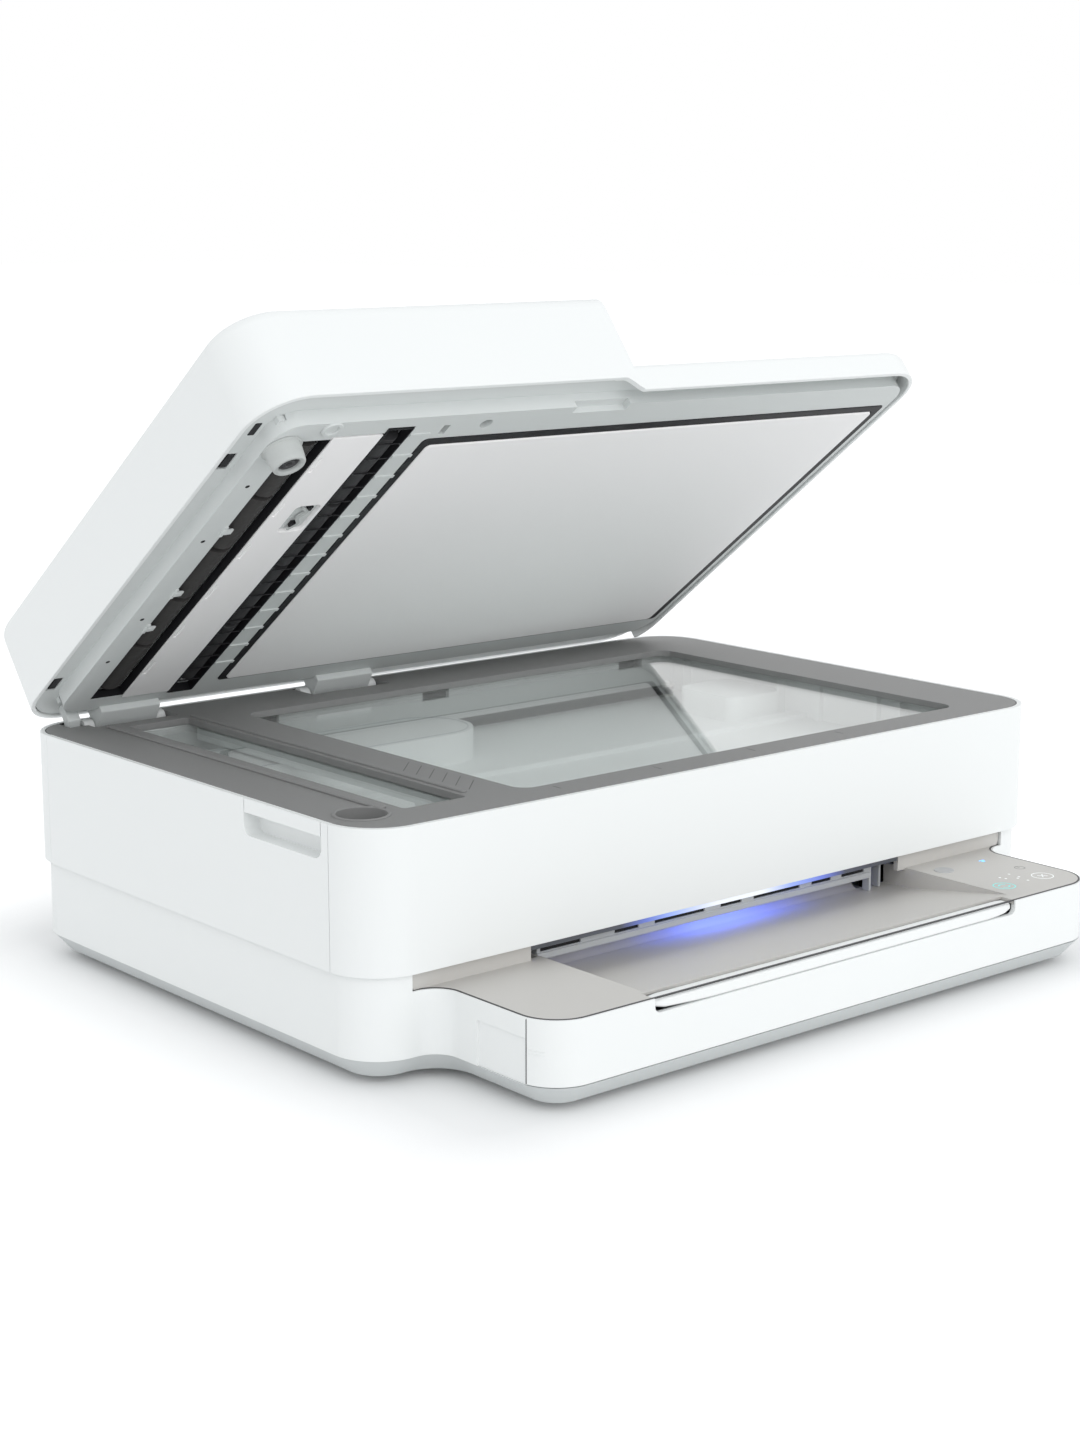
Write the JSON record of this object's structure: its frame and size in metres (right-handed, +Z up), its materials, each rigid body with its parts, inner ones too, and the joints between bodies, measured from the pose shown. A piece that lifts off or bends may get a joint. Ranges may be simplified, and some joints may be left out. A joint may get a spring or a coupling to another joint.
{
  "type": "all-in-one inkjet printer",
  "caption": "Low white all-in-one inkjet printer with its scanner lid raised, a sheet feeder built into the lid, a drawer for plain paper and a sloping output pocket in front.",
  "frame": {"origin": "on the floor under the middle of the bounding box, lid raised as stored", "axes": "+X to the right seen from the front, the longest extent; +Y to the back; +Z up"},
  "size_m": [0.432, 0.3838, 0.321],
  "materials": {
    "white_casing": "fine satin texture",
    "grey_pan": "satin",
    "black_rubber": "matte",
    "warm_grey_plastic": "fine texture",
    "light_strip": "frosted, lit from behind",
    "pale_grey_plastic": "satin",
    "zinc_steel": "zinc plated",
    "bright_steel": "ground",
    "belt_rubber": "matte",
    "motor_steel": "drawn can",
    "dark_plastic": "satin",
    "black_plastic": "satin",
    "circuit_board": "solder mask",
    "button_grey": "satin",
    "roller_rubber": "ground matte",
    "gear_plastic": "natural",
    "cartridge_grey": "satin",
    "latch_blue": "satin",
    "tub_plastic": "satin",
    "bezel_grey": "fine texture",
    "clear_glass": "polished",
    "lid_grey": "satin",
    "pad_white": "soft foam film",
    "pale_rubber": "matte",
    "grey_foam": "grooved"
  },
  "bodies": {
    "base": {"base_pan": "grey_pan", "lower_casing": "white_casing", "rubber_feet": "black_rubber", "output_deck": "warm_grey_plastic", "edge_light_bar": "light_strip", "exit_guide": "pale_grey_plastic", "print_frame": "zinc_steel", "carriage_rod": "bright_steel", "carriage_belt": "belt_rubber", "carriage_motor": "motor_steel", "feed_motor": "motor_steel", "platen": "dark_plastic", "service_station": "dark_plastic", "main_board": "circuit_board", "power_supply": "dark_plastic", "power_inlet": "black_plastic", "usb_port": "bright_steel"},
    "power_button": {"power_button": "button_grey"},
    "wireless_button": {"wireless_button": "button_grey"},
    "feed_roller": {"feed_roller": "roller_rubber"},
    "drive_pinion": {"drive_pinion": "gear_plastic"},
    "exit_roller": {"exit_roller": "roller_rubber"},
    "pick_arm": {"pick_arm": "dark_plastic"},
    "pick_roller": {"pick_roller": "roller_rubber"},
    "carriage": {"print_carriage": "dark_plastic", "black_cartridge": "black_plastic", "colour_cartridge": "cartridge_grey"},
    "left_latch": {"left_latch": "latch_blue"},
    "right_latch": {"right_latch": "black_plastic"},
    "drive_pulley": {"drive_pulley": "gear_plastic"},
    "idler_pulley": {"idler_pulley": "gear_plastic"},
    "drawer": {"paper_tray": "white_casing"},
    "left_width_guide": {"left_width_guide": "pale_grey_plastic"},
    "right_width_guide": {"right_width_guide": "pale_grey_plastic"},
    "guide_pinion": {"guide_pinion": "gear_plastic"},
    "length_guide": {"length_guide": "pale_grey_plastic"},
    "extender": {"tray_extender": "white_casing"},
    "scanner": {"front_panel": "white_casing", "left_side_panel": "white_casing", "right_side_panel": "white_casing", "rear_panel": "white_casing", "scanner_tub": "tub_plastic", "scanner_bezel": "bezel_grey", "flatbed_glass": "clear_glass", "feeder_glass": "clear_glass"},
    "scan_bar": {"scan_bar": "black_plastic"},
    "lid": {"lid_cover": "white_casing", "lid_frame": "lid_grey", "document_pad": "pad_white", "pad_backing": "black_plastic", "pressure_plate": "pad_white", "lid_bumper": "pale_rubber", "lid_hinge_arms": "lid_grey", "feeder_tray": "pale_grey_plastic"},
    "feeder_cover": {"feeder_cover": "white_casing"},
    "front_sheet_guide": {"front_sheet_guide": "pale_grey_plastic"},
    "rear_sheet_guide": {"rear_sheet_guide": "pale_grey_plastic"},
    "feeder_roller": {"feeder_roller": "grey_foam"},
    "feeder_exit_roller": {"feeder_exit_roller": "roller_rubber"},
    "feeder_pick_roller": {"feeder_pick_roller": "grey_foam"}
  },
  "joints": [
    {"name": "access_hinge", "type": "hinge", "parent": "base", "child": "scanner", "pos_m": [0, 0.15308, 0.058], "axis": [-1, 0, 0], "range_deg": [0, 30]},
    {"name": "lid_hinge", "type": "hinge", "parent": "scanner", "child": "lid", "pos_m": [0, 0.15299, 0.1107], "axis": [-1, 0, 0], "range_deg": [-37.45, 20]},
    {"name": "feeder_cover_hinge", "type": "hinge", "parent": "lid", "child": "feeder_cover", "pos_m": [-0.199, 0.07571, 0.23249], "axis": [0, -0.7939, 0.6081], "range_deg": [0, 70]},
    {"name": "front_sheet_guide_slide", "type": "slide", "parent": "lid", "child": "front_sheet_guide", "axis": [0, 0.7939, -0.6081], "range_m": [0, 0.055]},
    {"name": "rear_sheet_guide_slide", "type": "slide", "parent": "lid", "child": "rear_sheet_guide", "axis": [0, -0.7939, 0.6081], "range_m": [0, 0.055]},
    {"name": "feeder_roller_spin", "type": "hinge", "parent": "lid", "child": "feeder_roller", "pos_m": [-0.181, 0.05387, 0.20438], "axis": [0, 0.7939, -0.6081], "continuous": true},
    {"name": "feeder_exit_roller_spin", "type": "hinge", "parent": "lid", "child": "feeder_exit_roller", "pos_m": [-0.137, 0.05247, 0.20255], "axis": [0, 0.7939, -0.6081], "continuous": true},
    {"name": "feeder_pick_roller_spin", "type": "hinge", "parent": "lid", "child": "feeder_pick_roller", "pos_m": [-0.114, 0.06639, 0.22073], "axis": [0, 0.7939, -0.6081], "continuous": true},
    {"name": "scan_bar_slide", "type": "slide", "parent": "scanner", "child": "scan_bar", "axis": [1, 0, 0], "range_m": [-0.034, 0.29]},
    {"name": "drawer_slide", "type": "slide", "parent": "base", "child": "drawer", "axis": [0, -1, 0], "range_m": [0, 0.2]},
    {"name": "left_guide_slide", "type": "slide", "parent": "drawer", "child": "left_width_guide", "axis": [1, 0, 0], "range_m": [0, 0.05]},
    {"name": "right_guide_slide", "type": "slide", "parent": "drawer", "child": "right_width_guide", "axis": [-1, 0, 0], "range_m": [0, 0.05]},
    {"name": "guide_pinion_spin", "type": "hinge", "parent": "drawer", "child": "guide_pinion", "pos_m": [0, -0.01192, 0.017], "axis": [0, 0, -1], "range_deg": [-1, 360]},
    {"name": "length_guide_slide", "type": "slide", "parent": "drawer", "child": "length_guide", "axis": [0, 1, 0], "range_m": [0, 0.115]},
    {"name": "extender_slide", "type": "slide", "parent": "drawer", "child": "extender", "axis": [0, -0.9868, 0.1618], "range_m": [0, 0.048]},
    {"name": "carriage_slide", "type": "slide", "parent": "base", "child": "carriage", "axis": [1, 0, 0], "range_m": [-0.27, 0]},
    {"name": "drive_pulley_spin", "type": "hinge", "parent": "base", "child": "drive_pulley", "pos_m": [0.178, -0.00692, 0.064], "axis": [0, 1, 0], "range_deg": [-10, 2600]},
    {"name": "idler_pulley_spin", "type": "hinge", "parent": "base", "child": "idler_pulley", "pos_m": [-0.156, -0.00692, 0.064], "axis": [0, 1, 0], "range_deg": [-10, 2600]},
    {"name": "left_latch_hinge", "type": "hinge", "parent": "carriage", "child": "left_latch", "pos_m": [0.131, -0.08492, 0.054], "axis": [1, 0, 0], "range_deg": [0, 25]},
    {"name": "right_latch_hinge", "type": "hinge", "parent": "carriage", "child": "right_latch", "pos_m": [0.165, -0.08492, 0.054], "axis": [1, 0, 0], "range_deg": [0, 25]},
    {"name": "feed_roller_spin", "type": "hinge", "parent": "base", "child": "feed_roller", "pos_m": [0, -0.03191, 0.036], "axis": [1, 0, 0], "continuous": true},
    {"name": "exit_roller_spin", "type": "hinge", "parent": "base", "child": "exit_roller", "pos_m": [0, -0.08991, 0.036], "axis": [1, 0, 0], "continuous": true},
    {"name": "drive_pinion_spin", "type": "hinge", "parent": "base", "child": "drive_pinion", "pos_m": [-0.1735, -0.06091, 0.036], "axis": [1, 0, 0], "continuous": true},
    {"name": "pick_arm_hinge", "type": "hinge", "parent": "base", "child": "pick_arm", "pos_m": [0, 0.02808, 0.044], "axis": [1, 0, 0], "range_deg": [0, 12]},
    {"name": "pick_roller_spin", "type": "hinge", "parent": "pick_arm", "child": "pick_roller", "pos_m": [0, 0.07608, 0.03], "axis": [1, 0, 0], "continuous": true},
    {"name": "power_button_press", "type": "slide", "parent": "base", "child": "power_button", "axis": [0, -1, 0], "range_m": [0, 0.0015], "stiffness_N_per_m": 400, "springref_m": -0.0005},
    {"name": "wireless_button_press", "type": "slide", "parent": "base", "child": "wireless_button", "axis": [0, -1, 0], "range_m": [0, 0.0015], "stiffness_N_per_m": 400, "springref_m": -0.0005}
  ],
  "couplings": [
    {"joint": "rear_sheet_guide_slide", "follows": "front_sheet_guide_slide", "ratio": 1},
    {"joint": "feeder_exit_roller_spin", "follows": "feeder_roller_spin", "ratio": 1.2857},
    {"joint": "feeder_pick_roller_spin", "follows": "feeder_roller_spin", "ratio": 1},
    {"joint": "right_guide_slide", "follows": "left_guide_slide", "ratio": 1},
    {"joint": "guide_pinion_spin", "follows": "left_guide_slide", "rad_per_m": 125},
    {"joint": "drive_pulley_spin", "follows": "carriage_slide", "rad_per_m": -166.67},
    {"joint": "idler_pulley_spin", "follows": "carriage_slide", "rad_per_m": -166.67},
    {"joint": "exit_roller_spin", "follows": "feed_roller_spin", "ratio": 1},
    {"joint": "drive_pinion_spin", "follows": "feed_roller_spin", "ratio": -1.6364}
  ]
}
